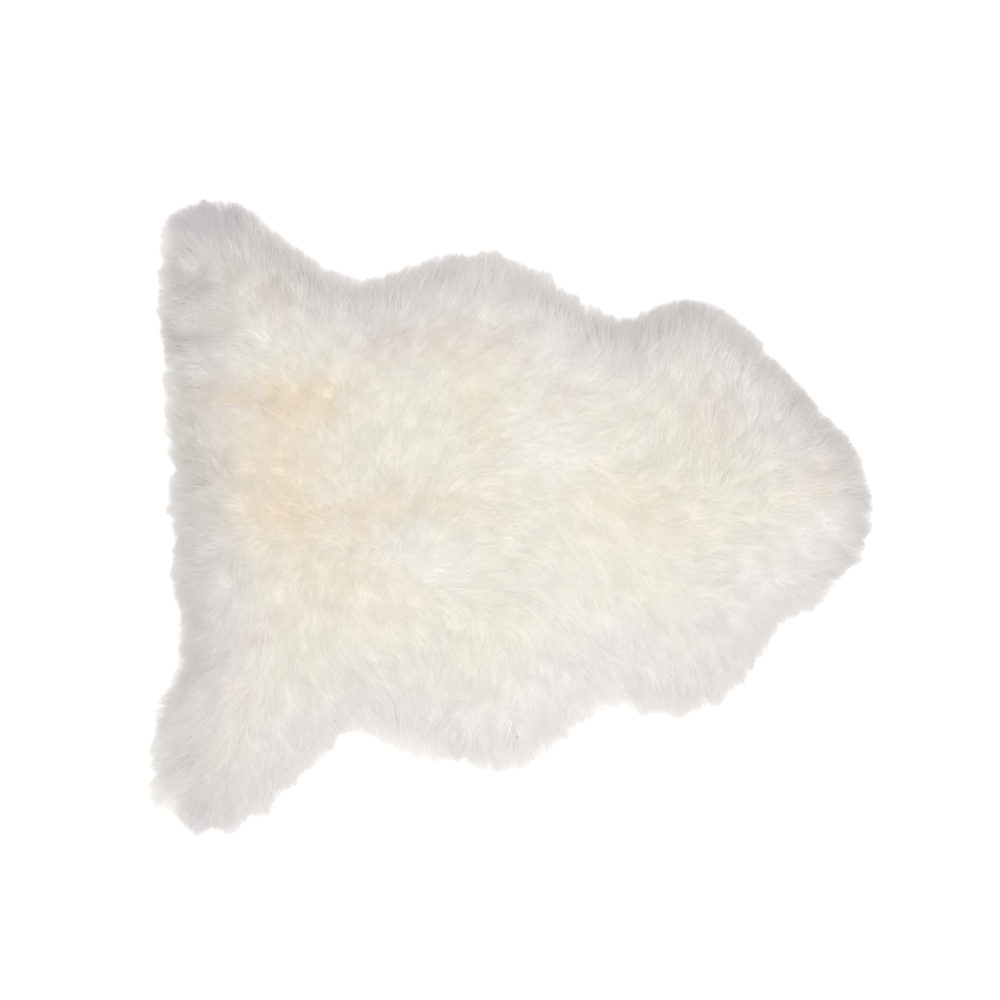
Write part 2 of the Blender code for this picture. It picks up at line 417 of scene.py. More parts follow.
def roll_slope(inward):
    """How steeply the locks of the rim fall away, by how far in they lie."""
    turn_in = about(350, 170, 110) + about(440, -20, 100)
    past = inward - 20.0 + 10.0 * turn_in
    return RIM_SLOPE * np.exp(-(past / np.where(past < 0, 22.0, 38.0 - 9.0 * turn_in)) ** 2)


# The way that the surface faces: out over the roll, and off each swell.
lumps = Field(top_height(np.full(len(PLACES), 999.0), PLACES))
lump_y, lump_x = np.gradient(lumps.values, Field.STEP)
fade = np.clip(signed / 40.0, 0.0, 1.0)
slope = roll_slope(signed)
for x, y, wide, less in ((-445, -320, 75, 0.65), (-360, -400, 60, 0.3),
                         (-150, -290, 100, 0.45), (150, -245, 70, 0.35),
                         (-436, 200, 130, 0.30), (-380, 370, 70, 0.20),
                         (-180, 300, 110, 0.32), (-20, 330, 90, 0.22),
                         (440, -60, 80, -0.25), (-425, 20, 80, 0.18),
                         (220, 275, 70, 0.10), (330, 195, 60, 0.14)):
    slope *= 1.0 - less * about(x, y, wide)
out_x, out_y = -grad_x.ravel(), -grad_y.ravel()
out_x_at, out_y_at = Field(out_x), Field(out_y)
face_x = Field(slope * out_x - LUMP_SHADE * fade * lump_x.ravel())
face_y = Field(slope * out_y - LUMP_SHADE * fade * lump_y.ravel())

HIDE_INSET = 27.0        # the hide's edge, in from where the fleece reaches
WOOL_SHARE = 0.88        # how much of the fleece's height is dense underwool


def wool_height(inward, places):
    """Top of the dense underwool that the long strands stand in."""
    t = np.clip((inward - HIDE_INSET + 2.0) / 34.0, 0.0, 1.0)
    t = t * t * (3 - 2 * t)
    return 2.5 + (WOOL_SHARE * top_height(inward, places) - 2.5) * t


wool = Field(wool_height(signed, PLACES))

# Heading of the fleece: out over the edge near it, as combed elsewhere.
vx = np.zeros(len(PLACES))
vy = np.zeros(len(PLACES))
weight = np.full(len(PLACES), 1e-6)
scatter = np.full(len(PLACES), 35e-6)
for c in COMBS:
    w = np.exp(-((PLACES[:, 0] - c.x) ** 2 + (PLACES[:, 1] - c.y) ** 2) / c.reach ** 2)
    vx += w * math.cos(math.radians(c.heading))
    vy += w * math.sin(math.radians(c.heading))
    scatter += w * c.scatter
    weight += w
edge_w = 0.55 * np.exp(-(np.clip(signed, 0, None) / 30.0) ** 2)
vx += edge_w * out_x
vy += edge_w * out_y
weight += edge_w
scatter += edge_w * 10.0
norm = np.hypot(vx, vy) + 1e-9
comb_x, comb_y = Field(vx / norm), Field(vy / norm)
# Where the ways part, the locks fall anyhow and cover the parting.
parted = 1.0 - np.clip(norm / weight, 0, 1)
comb_scatter = Field(scatter / weight + 8.0 * parted + 60.0 * parted ** 3)
spread_apart = np.gradient(comb_x.values, Field.STEP, axis=1) \
    + np.gradient(comb_y.values, Field.STEP, axis=0)
comb_parts = Field(np.clip(spread_apart, 0.0, 0.08))

# How far past the plan edge the wool reaches: the tufts above, and small
# uneven ones all along.
ragged = np.ones(len(PLACES))
for x, y, wide, more in ((360, 190, 110, -0.75), (-450, -320, 90, 0.5),
                         (-60, -300, 120, 0.3), (250, 280, 60, -0.4),
                         (460, 20, 70, -0.6)):
    ragged += more * about(x, y, wide)
rim_ragged = Field(np.clip(ragged, 0.2, 1.5))
reach_out = 4.0 + ragged * (1.0 * waves(PLACES, 15, 61) + 0.8 * waves(PLACES, 27, 63)
                            + 0.8 * waves(PLACES, 50, 62))
fine_edge = evenly_spaced(EDGE, 2.0)
for f in TUFTS:
    at = fine_edge[np.argmin(((fine_edge - (f.x, f.y)) ** 2).sum(axis=1))]
    reach_out += f.out * about(at[0], at[1], f.width)
rim_reach = Field(reach_out)
reach_y, reach_x = np.gradient(rim_reach.values, Field.STEP)
sideways = reach_x.ravel() * -out_y + reach_y.ravel() * out_x
rim_draw = Field(np.clip(sideways, -1.0, 1.0))

# How much paler or darker than the rest the wool is painted, as painted light and shade: at
# its tips over the rim, and on the brow of the roll behind them.
PaintedRimLight = namedtuple("PaintedRimLight", "name x y reach tips brow")
PAINTED_RIM_LIGHTS = (
    PaintedRimLight("upper_toes", -405, 385, 60, 0.06, -0.13),
    PaintedRimLight("upper_heel", -447, 310, 60, 0.11, -0.27),
    PaintedRimLight("upper_thigh", -446, 200, 70, 0.26, -0.17),
    PaintedRimLight("rump_upper", -438, 90, 70, 0.16, -0.09),
    PaintedRimLight("tail", -434, 0, 60, 0.08, -0.07),
    PaintedRimLight("rump_lower", -430, -90, 60, -0.15, -0.08),
    PaintedRimLight("lower_thigh", -440, -220, 60, 0.04, 0.04),
    PaintedRimLight("lower_leg", -455, -330, 70, 0.14, 0.0),
    PaintedRimLight("lower_toes", -380, -400, 70, 0.23, 0.0),
    PaintedRimLight("lower_shank", -280, -345, 60, 0.11, 0.0),
    PaintedRimLight("lower_flank", -150, -290, 70, 0.18, 0.04),
    PaintedRimLight("lower_belly", -10, -318, 70, 0.06, -0.03),
    PaintedRimLight("upper_shank", -290, 362, 60, 0.09, 0.0),
    PaintedRimLight("upper_waist", -195, 308, 70, 0.20, -0.18),
    PaintedRimLight("upper_belly", -30, 340, 90, 0.17, 0.0),
    PaintedRimLight("upper_elbow", 142, 260, 40, 0.02, -0.10),
    PaintedRimLight("upper_foreleg", 240, 279, 60, -0.17, 0.02),
    PaintedRimLight("upper_shoulder", 330, 212, 60, -0.08, 0.08),
    PaintedRimLight("upper_neck", 400, 140, 60, -0.20, -0.07),
    PaintedRimLight("neck_end", 460, 20, 60, -0.20, -0.11),
    PaintedRimLight("lower_neck", 445, -60, 50, -0.20, 0.08),
    PaintedRimLight("lower_foreleg", 270, -230, 60, -0.05, 0.0),
    PaintedRimLight("lower_elbow", 142, -240, 50, 0.06, 0.17),
)
rim_paint_tips = np.exp(-(np.clip(signed, 0, None) / 20.0) ** 2)
rim_paint_brow = np.exp(-((signed - 66.0) / 20.0) ** 2)
rim_paint = -0.05 * rim_paint_brow
for w in PAINTED_RIM_LIGHTS:
    rim_paint += (w.tips * rim_paint_tips + w.brow * rim_paint_brow) * about(w.x, w.y, w.reach)
painted_rim_light = Field(rim_paint)

# -------------------------------------------------------------------- colour
IVORY = np.array((0.828, 0.796, 0.708))
WHITE = np.array((0.790, 0.760, 0.741))
PEACH = np.array((0.838, 0.641, 0.414))
GOLD = np.array((0.826, 0.654, 0.398))
STRAW = np.array((0.81, 0.728, 0.535))
ROSE = np.array((0.68, 0.58, 0.50))
SNOW = np.array((0.89, 0.866, 0.832))
# Grey-lavender painted shade for the rims of the toes, the upper shank and the upper belly.
PAINTED_RIM_SHADE = np.array((0.57, 0.53, 0.545))
# Dark brown painted shade, laid in the creases of the rump and the upper leg.
PAINTED_CREASE_SHADE = np.array((0.42, 0.335, 0.275))
# Grey painted shade, laid in the hollows, along the rims, and over the upper leg and rump
# where they turn from the light.
PAINTED_SHADE = np.array((0.54, 0.51, 0.475))

# Real stains of the wool, and rows of grey, brown and lavender painted shade.
StainOrShade = namedtuple("StainOrShade", "name tint x y long wide turn strength")
STAINS_AND_SHADES = (
    StainOrShade("rump_gold", GOLD, -268, 150, 54, 28, 0, 0.70),
    StainOrShade("rump_gold_low", PEACH, -296, 80, 70, 68, 0, 0.43),
    StainOrShade("rump_tan_lock", ROSE, -357, 153, 50, 23, 0, 0.62),
    StainOrShade("croup_straw", PEACH, -290, 0, 62, 44, -10, 0.48),
    StainOrShade("loin_straw", PEACH, -165, 10, 74, 22, 8, 0.42),
    StainOrShade("loin_straw_front", STRAW, -66, 14, 48, 22, 10, 0.38),
    StainOrShade("croup_low", STRAW, -225, -75, 78, 44, -15, 0.45),
    StainOrShade("back_peach", PEACH, -48, 155, 22, 44, 8, 0.26),
    StainOrShade("back_peach_low", PEACH, -30, 100, 16, 30, 0, 0.24),
    StainOrShade("upper_rose", ROSE, -102, 225, 66, 22, 4, 0.50),
    StainOrShade("upper_rose_front", ROSE, -20, 225, 52, 26, -8, 0.30),
    StainOrShade("thigh_rose", ROSE, -285, 280, 28, 34, 0, 0.55),
    StainOrShade("upper_leg_cream", STRAW, -338, 300, 26, 46, 20, 0.30),
    StainOrShade("upper_leg_painted_shade", PAINTED_SHADE, -386, 292, 38, 30, -10, 0.60),
    StainOrShade("upper_shank_painted_shade", PAINTED_RIM_SHADE, -368, 335, 38, 30, 0, 0.44),
    StainOrShade("upper_toe_mauve", PAINTED_RIM_SHADE, -390, 388, 60, 26, 0, 0.58),
    StainOrShade("lower_toe_mauve", PAINTED_RIM_SHADE, -386, -386, 58, 26, 0, 0.44),
    StainOrShade("upper_thigh_shade", PAINTED_SHADE, -350, 224, 24, 20, 0, 0.30),
    StainOrShade("rump_edge_straw", STRAW, -405, 105, 26, 80, 0, 0.16),
    StainOrShade("upper_belly_mauve", PAINTED_RIM_SHADE, -25, 332, 60, 14, 0, 0.14),
    StainOrShade("upper_thigh_painted_shade", PAINTED_SHADE, -408, 222, 36, 15, 8, 0.50),
    StainOrShade("rump_painted_shade", PAINTED_SHADE, -396, 60, 22, 60, 0, 0.42),
    StainOrShade("cheek_painted_shade", PAINTED_SHADE, 430, 92, 16, 34, 30, 0.34),
    StainOrShade("neck_end_painted_shade", PAINTED_SHADE, 455, 10, 16, 46, 0, 0.32),
    StainOrShade("lower_cheek_painted_shade", PAINTED_SHADE, 438, -68, 18, 36, -28, 0.40),
    StainOrShade("lower_shoulder_painted_shade", PAINTED_SHADE, 318, -178, 40, 20, 50, 0.22),
    StainOrShade("shoulder_edge_painted_shade", PAINTED_SHADE, 350, 182, 12, 60, 42, 0.18),
    StainOrShade("tail_crease", PAINTED_CREASE_SHADE, -372, 56, 16, 9, 0, 0.55),
    StainOrShade("rump_crease", PAINTED_CREASE_SHADE, -364, 84, 12, 7, 0, 0.40),
    StainOrShade("upper_heel_crease", PAINTED_CREASE_SHADE, -383, 302, 18, 11, 30, 0.43),
    StainOrShade("tan_spot", PEACH, -344, 153, 14, 8, 0, 0.50),
    StainOrShade("upper_thigh_crease", PAINTED_CREASE_SHADE, -416, 234, 20, 9, 10, 0.46),
    StainOrShade("tail_low_painted_shade", PAINTED_SHADE, -348, -62, 22, 30, 0, 0.28),
    StainOrShade("lower_leg_painted_shade", PAINTED_SHADE, -388, -318, 42, 58, -8, 0.38),
    StainOrShade("lower_thigh_painted_shade", PAINTED_SHADE, -408, -178, 18, 28, 0, 0.10),
    StainOrShade("upper_leg_shade", PAINTED_SHADE, -345, 282, 66, 62, 0, 0.17),
    StainOrShade("rump_shade", PAINTED_SHADE, -350, 15, 28, 135, 0, 0.16),
    StainOrShade("flank_rose", ROSE, -176, 202, 20, 22, 0, 0.35),
    StainOrShade("lower_rose", ROSE, -314, -141, 22, 20, 0, 0.55),
    StainOrShade("lower_rose_leg", ROSE, -340, -222, 28, 20, 0, 0.30),
    StainOrShade("withers_rose", ROSE, 66, 150, 34, 22, -60, 0.25),
    StainOrShade("shoulder_straw", STRAW, 160, 15, 72, 32, -12, 0.50),
    StainOrShade("shoulder_rose", ROSE, 255, 122, 40, 44, 0, 0.25),
    StainOrShade("neck_straw", STRAW, 384, 50, 30, 28, 0, 0.42),
    StainOrShade("saddle_snow", SNOW, 50, 96, 44, 34, -45, 0.85),
    StainOrShade("loin_snow", SNOW, -100, -50, 38, 23, -25, 0.85),
    StainOrShade("withers_snow", SNOW, 50, 232, 22, 32, 20, 0.60),
    StainOrShade("belly_snow", SNOW, -12, -238, 66, 30, 10, 0.55),
    StainOrShade("shoulder_snow", SNOW, 300, -62, 60, 34, 0, 0.35),
    StainOrShade("upper_shoulder_snow", SNOW, 327, 146, 46, 18, -45, 0.34),
    StainOrShade("neck_snow", SNOW, 392, 8, 40, 26, 0, 0.30),
    StainOrShade("belly_side_snow", SNOW, 80, -110, 60, 30, -40, 0.15),
    StainOrShade("lower_heel_snow", SNOW, -450, -324, 22, 52, 0, 0.75),
    StainOrShade("lower_flank_snow", SNOW, -142, -285, 60, 26, -15, 0.85),
    StainOrShade("lower_elbow_snow", SNOW, 140, -228, 60, 22, 0, 0.85),
    StainOrShade("lower_belly_snow", SNOW, -20, -300, 60, 22, 0, 0.50),
    StainOrShade("lower_side_snow", SNOW, 0, -290, 420, 62, 0, 0.18),
)


def wool_colours_and_painted_shade(p):
    """The wool's colour over the plan: ivory, whiter by the edge, with its stains and with
    painted shade in its hollows, creases and along its rims.
    """
    inward = depth_in(p)
    drift = waves(p, 70, 21) * 6.0
    for x, y, wide, more in ((-420, 60, 140, 22), (-218, 255, 60, 14),
                             (-230, -222, 60, 26), (350, 130, 60, 10),
                             (168, -112, 80, -20), (0, -100, 110, -8)):
        drift += more * np.exp(-((p[:, 0] - x) ** 2 + (p[:, 1] - y) ** 2) / wide ** 2)
    t = np.clip((inward + drift - 48.0) / 82.0, 0.0, 1.0)[:, None]
    t = t * t * (3 - 2 * t)
    colour = WHITE * (1 - t) + IVORY * t
    # The stains, and the painted shade rows, are laid over the ground colour.
    for s in STAINS_AND_SHADES:
        a = math.radians(s.turn)
        q = p + 7.0 * np.column_stack([waves(p, 40, 31), waves(p, 40, 32)])
        dx, dy = q[:, 0] - s.x, q[:, 1] - s.y
        u = (dx * math.cos(a) + dy * math.sin(a)) / s.long
        v = (-dx * math.sin(a) + dy * math.cos(a)) / s.wide
        w = (s.strength * np.exp(-(u * u + v * v)))[:, None]
        colour = colour * (1 - w) + s.tint * w
    mottle = 0.006 * waves(p, 32, 71) + 0.009 * waves(p, 78, 72)
    return colour * (1.0 + mottle * np.clip((inward - 30.0) / 50.0, 0, 1))[:, None]


# ----------------------------------------------------------------- materials
def node(tree, kind, **values):
    n = tree.nodes.new(kind)
    for name, value in values.items():
        setattr(n, name, value)
    return n


def mix_colours(tree, blend, factor, a, b):
    n = node(tree, "ShaderNodeMix", data_type="RGBA", blend_type=blend)
    for socket, value in ((n.inputs[0], factor), (n.inputs[6], a), (n.inputs[7], b)):
        if isinstance(value, bpy.types.NodeSocket):
            tree.links.new(value, socket)
        else:
            socket.default_value = value
    return n.outputs[2]


def map_range(tree, value, low, high, to_low, to_high):
    n = node(tree, "ShaderNodeMapRange")
    tree.links.new(value, n.inputs[0])
    for k, x in enumerate((low, high, to_low, to_high), 1):
        n.inputs[k].default_value = x
    return n.outputs[0]


def noise(tree, scale, detail=3.0, rough=0.55, vector=None):
    n = node(tree, "ShaderNodeTexNoise")
    n.inputs["Scale"].default_value = scale
    n.inputs["Detail"].default_value = detail
    n.inputs["Roughness"].default_value = rough
    if vector is None:
        vector = node(tree, "ShaderNodeTexCoord").outputs["Object"]
    tree.links.new(vector, n.inputs["Vector"])
    return n.outputs["Fac"]


def strand_material():
    m = bpy.data.materials.new("fleece_strands")
    m.use_nodes = True
    t = m.node_tree
    shader = t.nodes["Principled BSDF"]
    tint = node(t, "ShaderNodeAttribute", attribute_name="wool").outputs["Color"]
    along = node(t, "ShaderNodeAttribute", attribute_name="along").outputs["Fac"]
    tone_and_painted_light = node(t, "ShaderNodeAttribute", attribute_name="tone_and_painted_light").outputs["Fac"]
    # Painted light: each strand is painted whitest at its root, to lift the shade that falls
    # deep between the strands.
    root = map_range(t, along, 0.0, 0.85, 1.07, 1.0)
    grey = node(t, "ShaderNodeCombineColor")
    for k in range(3):
        t.links.new(root, grey.inputs[k])
    colour = mix_colours(t, "MULTIPLY", 1.0, tint, grey.outputs[0])
    # The tone attribute holds each strand's random tone together with its painted light and
    # shade.
    varied = map_range(t, tone_and_painted_light, 0.0, 1.0, 0.80, 1.20)
    grey2 = node(t, "ShaderNodeCombineColor")
    for k in range(3):
        t.links.new(varied, grey2.inputs[k])
    colour = mix_colours(t, "MULTIPLY", 1.0, colour, grey2.outputs[0])
    fine = map_range(t, noise(t, 140.0, 2.0), 0.35, 0.75, 0.0, 0.20)
    colour = mix_colours(t, "MULTIPLY", fine, colour, (0.97, 0.94, 0.88, 1.0))
    t.links.new(colour, shader.inputs["Base Color"])
    rough = map_range(t, noise(t, 60.0, 2.0), 0.3, 0.7, 0.62, 0.80)
    t.links.new(rough, shader.inputs["Roughness"])
    shader.inputs["Specular IOR Level"].default_value = 0.15
    return m


def underwool_material():
    m = bpy.data.materials.new("underwool")
    m.use_nodes = True
    t = m.node_tree
    shader = t.nodes["Principled BSDF"]
    tint = node(t, "ShaderNodeAttribute", attribute_name="wool").outputs["Color"]
    curls = noise(t, 160.0, 4.0, 0.65)
    shade = map_range(t, curls, 0.3, 0.7, 0.0, 0.5)
    colour = mix_colours(t, "MULTIPLY", shade, tint, (0.95, 0.94, 0.92, 1.0))
    t.links.new(colour, shader.inputs["Base Color"])
    shader.inputs["Roughness"].default_value = 0.9
    shader.inputs["Specular IOR Level"].default_value = 0.15
    bump = node(t, "ShaderNodeBump")
    bump.inputs["Strength"].default_value = 0.8
    bump.inputs["Distance"].default_value = 0.003
    t.links.new(curls, bump.inputs["Height"])
    t.links.new(bump.outputs[0], shader.inputs["Normal"])
    return m


def hide_material():
    m = bpy.data.materials.new("suede_hide")
    m.use_nodes = True
    t = m.node_tree
    shader = t.nodes["Principled BSDF"]
    cloud = noise(t, 9.0, 5.0, 0.6)
    nap = noise(t, 420.0, 3.0, 0.6)
    colour = mix_colours(t, "MIX", map_range(t, cloud, 0.35, 0.68, 0.0, 1.0),
                         (0.74, 0.66, 0.53, 1.0), (0.62, 0.52, 0.39, 1.0))
    colour = mix_colours(t, "MULTIPLY", map_range(t, nap, 0.3, 0.7, 0.0, 0.5),
                         colour, (0.80, 0.74, 0.66, 1.0))
    t.links.new(colour, shader.inputs["Base Color"])
    t.links.new(map_range(t, nap, 0.2, 0.8, 0.80, 0.97), shader.inputs["Roughness"])
    shader.inputs["Sheen Weight"].default_value = 0.25
    bump = node(t, "ShaderNodeBump")
    bump.inputs["Strength"].default_value = 0.5
    bump.inputs["Distance"].default_value = 0.0006
    t.links.new(nap, bump.inputs["Height"])
    wide = node(t, "ShaderNodeBump")
    wide.inputs["Strength"].default_value = 0.4
    wide.inputs["Distance"].default_value = 0.004
    t.links.new(noise(t, 26.0, 3.0), wide.inputs["Height"])
    t.links.new(bump.outputs[0], wide.inputs["Normal"])
    t.links.new(wide.outputs[0], shader.inputs["Normal"])
    return m


# ------------------------------------------------------- hide and underwool
def place(name, mesh, material):
    ob = bpy.data.objects.new(name, mesh)
    mesh.materials.append(material)
    bpy.context.scene.collection.objects.link(ob)
    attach(ob, "root")
    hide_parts("sheepskin")
    return ob


def triangulated(inset, step):
    """Plan points inside the edge moved in by inset, and their triangles."""
    fine = evenly_spaced(EDGE, step)
    ring = fine + inward_normals(fine) * inset
    ring = ring[distance_to_edge(ring, EDGE) > inset * 0.985]
    low, high = ring.min(axis=0), ring.max(axis=0)
    rows = np.arange(low[1], high[1], step * math.sqrt(3) / 2)
    grid = np.array([(x, y) for r, y in enumerate(rows)
                     for x in np.arange(low[0] + (r % 2) * step / 2, high[0], step)])
    keep = is_inside(grid, ring) & (distance_to_edge(grid, ring) > step * 0.6)
    points = np.vstack([ring, grid[keep]])
    loop = [(i, (i + 1) % len(ring)) for i in range(len(ring))]
    verts, _, faces, origin, _, _ = delaunay_2d_cdt(
        [Vector(p) for p in points], loop, [], 1, 1e-4)
    flat = np.array([tuple(v) for v in verts])
    rim = [None] * len(ring)
    for index, sources in enumerate(origin):
        for source in sources:
            if source < len(ring):
                rim[source] = index
    return flat, [tuple(f) for f in faces], rim


def closed_sheet(name, flat, faces, rim, upper, lower):
    """A mesh of two faces of a sheet and the edge between them."""
    n = len(flat)
    co = np.vstack([np.column_stack([flat, upper]), np.column_stack([flat, lower])])
    polys = list(faces) + [tuple(i + n for i in reversed(f)) for f in faces]
    for a, b in zip(rim, rim[1:] + rim[:1]):
        polys.append((a + n, b + n, b, a))
    mesh = bpy.data.meshes.new(name)
    mesh.from_pydata((co * MM).tolist(), [], polys)
    mesh.update()
    return mesh


def paint(mesh, points):
    """Colour the underwool, which is in its own shade where the wool parts."""
    layer = mesh.color_attributes.new("wool", "FLOAT_COLOR", "POINT")
    open_shade = 1.0 - 0.12 * np.clip(comb_parts(points) / 0.025, 0, 1)
    rgba = np.column_stack([wool_colours_and_painted_shade(points) * open_shade[:, None],
                            np.ones(len(points))])
    layer.data.foreach_set("color", rgba.astype(np.float32).ravel())


flat, faces, rim = triangulated(HIDE_INSET, 14.0)
uneven = 0.35 + 0.35 * np.clip(waves(flat, 90, 41), -1, 1)
hide_mesh = closed_sheet("hide", flat, faces, rim, 2.2 + uneven, uneven)
hide = place("hide", hide_mesh, hide_material())

flat, faces, rim = triangulated(HIDE_INSET + 1.0, 10.5)
inward = depth_in(flat)
rise = wool_height(inward, flat)
rise += 0.4 * waves(flat, 30, 42) * np.clip((inward - HIDE_INSET) / 20, 0, 1)
wool_mesh = closed_sheet("underwool", flat, faces, rim,
                         np.maximum(rise, 3.4), np.full(len(flat), 3.1))
wool_mesh.shade_smooth()
paint(wool_mesh, np.vstack([flat, flat]))
underwool = place("underwool", wool_mesh, underwool_material())


# ------------------------------------------------------------- the fleece
# The wool stands in locks about a finger wide. Every piece of the fleece
# shares them, and each lock is made of clumps of a few strands.
LOCK_SPACING = 11.0


def hex_grid(spacing, inset, jitter, dice):
    rows = np.arange(EDGE[:, 1].min(), EDGE[:, 1].max(), spacing * math.sqrt(3) / 2)
    p = np.array([(x, y) for r, y in enumerate(rows)
                  for x in np.arange(EDGE[:, 0].min() + (r % 2) * spacing / 2,
                                     EDGE[:, 0].max(), spacing)])
    p += dice.uniform(-jitter, jitter, p.shape) * spacing
    return p[depth_in(p) > inset]


dice = np.random.default_rng(101)
locks = hex_grid(LOCK_SPACING, HIDE_INSET - 4.0, 0.40, dice)
lock_spread = np.radians(comb_scatter(locks))
lock_turn = lock_spread * (0.55 * dice.normal(0, 1, len(locks))
                           + 0.55 * waves(locks, 34, 51))
lock_bend = (np.radians(5) + lock_spread * 0.7) * dice.normal(0, 1, len(locks))
lock_long = 1.0 + 0.10 * dice.normal(0, 1, len(locks))
lock_rise = dice.normal(0, 1, len(locks))
lock_tone = dice.uniform(0, 1, len(locks))
lock_tilt = dice.normal(0, 1, (len(locks), 2))
lock_finder = KDTree(len(locks))
for index, spot in enumerate(locks):
    lock_finder.insert((spot[0], spot[1], 0.0), index)
lock_finder.balance()


def turned(x, y, angle):
    c, s = np.cos(angle), np.sin(angle)
    return x * c - y * s, x * s + y * c


def unit(v):
    return v / (np.linalg.norm(v, axis=-1, keepdims=True) + 1e-12)


def fleece_normals(p):
    """Which way the fleece's surface faces over the plan."""
    return unit(np.stack([face_x(p), face_y(p), np.ones(len(p))], axis=1))


def in_plan_order(points, columns):
    """Order that fills a grid row by row as the points lie in the plan."""
    order = np.argsort(points[:, 1], kind="stable")
    return np.concatenate([row[np.argsort(points[row, 0], kind="stable")]
                           for row in np.array_split(order, -(-len(order) // columns))])


def make_strands(name, seed, count, steps, per_clump, width, length, gather,
                 under, stray, lift, material):
    """One piece of the fleece: clumps of strands, as tapered ribbons.

    A clump grows from its own spot in the underwool, lies as the fleece is
    combed there and as its lock turns, and draws together towards its tip.
    Lengths are in millimetres. length is that of the combed fleece and of
    the curled fleece, under how deep below the surface tips may end as a
    share of its height, stray the scatter of single strands in degrees, and
    lift how far they stand proud.
    """
    dice = np.random.default_rng(seed)
    clumps = count // per_clump
    spacing = math.sqrt(0.40e6 / clumps) * 0.66
    spots = hex_grid(spacing, HIDE_INSET - 1.0, 0.45, dice)
    # The rim's wool fans out over the floor, so it grows thicker there, and
    # also where the ways of the fleece part.
    want = 1.0 + 1.9 * np.exp(-((depth_in(spots) - 30.0) / 13.0) ** 2) \
        + 45.0 * comb_parts(spots) \
        + 0.9 * np.exp(-((spots[:, 0] - 355) ** 2 + (spots[:, 1] - 150) ** 2) / 80 ** 2)
    race = -np.log(dice.uniform(1e-9, 1, len(spots))) / want
    spots = spots[np.argsort(race)[:clumps]]
    clumps = len(spots)
    of_lock = np.array([lock_finder.find((x, y, 0.0))[1] for x, y in spots])
    clump_spread = np.radians(3 + 0.25 * comb_scatter(spots))
    clump_turn = lock_turn[of_lock] + clump_spread * dice.normal(0, 1, clumps)
    clump_bend = lock_bend[of_lock] + clump_spread * dice.normal(0, 1, clumps)
    clump_long = lock_long[of_lock] * (1.0 + 0.07 * dice.normal(0, 1, clumps))
    clump_deep = dice.uniform(0, 1, clumps) ** 1.5
    clump_tone = dice.uniform(0, 1, clumps)
    clump_wide = dice.uniform(1.3, 2.6, clumps)
    clump_slack = dice.normal(0, 1, clumps)

    clump = np.repeat(np.arange(clumps), per_clump)
    n = len(clump)
    lock = of_lock[clump]
    curl = np.clip((comb_scatter(spots[clump]) - 12.0) / 30.0, 0.0, 1.0)
    hx, hy = comb_x(spots[clump]), comb_y(spots[clump])
    hx, hy = turned(hx, hy, clump_turn[clump])
    across = np.clip(dice.normal(0, 0.55, n), -1.3, 1.3)
    side = np.column_stack([-hy, hx])
    root = spots[clump] + side * (across * clump_wide[clump])[:, None]
    root += np.column_stack([hx, hy]) * dice.uniform(-5, 5, n)[:, None]
    outside = depth_in(root) < HIDE_INSET - 2.0
    root[outside] = spots[clump][outside]
    inward = depth_in(root)
    # Inside, and all over the lower side, the wool is soft and close: its
    # locks keep their points only by the rim.
    crisp = np.clip(0.65 + root[:, 1] / 400.0, 0.3, 1.0)
    crisp -= 0.6 * np.exp(-((root[:, 0] - 345.0) ** 2 + (root[:, 1] - 160.0) ** 2) / 8e3)
    # The rump's wool is the coarsest, and clumps the most.
    coarse = np.exp(-((root[:, 0] + 430.0) / 60.0) ** 2
                    - ((root[:, 1] - 70.0) / 230.0) ** 2)
    crisp += 0.5 * coarse
    soft = np.clip((inward - 12.0 - 33.0 * crisp) / 35.0, 0.0, 1.0)

    hx, hy = turned(hx, hy, np.radians(stray) * dice.normal(0, 1, n))
    heading = np.column_stack([hx, hy])
    size = (length[0] * (1 - curl) + length[1] * curl) * clump_long[clump] \
        * (1.0 + 0.08 * dice.normal(0, 1, n))

    # By the edge a strand reaches just to the lip, whatever its length.
    toward = np.clip(hx * out_x_at(root) + hy * out_y_at(root), 0.25, 1.0)
    at_edge = root + heading * (inward / toward)[:, None]
    rough = rim_ragged(root)
    slack = (1.6 * dice.normal(0, 1, n) + 1.5 * clump_slack[clump]
             + 0.8 * lock_rise[lock]) * (0.4 + 0.6 * rough) + rim_reach(at_edge)
    slack = np.clip(slack, -14.0, 16.0)
    to_lip = (inward + slack) / toward
    # Its longest wool hangs in the tufts.
    tufted = 1.25 + 0.022 * np.clip(rim_reach(at_edge) - 5.0, 0.0, 15.0)
    longest = size * 0.86 * (1.0 + (tufted - 1.0) * np.clip((52.0 - inward) / 10.0, 0, 1))
    reach = np.minimum(longest, to_lip)
    size = np.where(reach < size * 0.86, np.maximum(reach / 0.93, 15.0),
                    np.maximum(size, reach / 0.90))

    tip_xy = root + heading * (size * 0.84)[:, None]
    start = wool(root) - 2.0 - 2.0 * dice.uniform(0, 1, n)
    at_lip = np.clip(1.0 - depth_in(tip_xy) / 14.0, 0.0, 1.0)
    under = under * (1.0 + 1.1 * soft + 6.5 * at_lip)
    deep = np.clip(clump_deep[clump] + 0.15 * dice.normal(0, 1, n), 0, 1.2) * under
    finish = top(tip_xy) * (1 - deep) + lift * dice.normal(0, 1, n) \
        + 0.35 * lock_rise[lock] * np.clip(inward / 60, 0, 1)
    finish = np.maximum(finish, 1.2 + 1.5 * dice.uniform(0, 1, n))
    # No tip is lost in the underwool.
    buried = wool(tip_xy) + 1.0 + 2.0 * dice.uniform(0, 1, n)
    finish = np.where(inward > 30.0, np.maximum(finish, buried), finish)

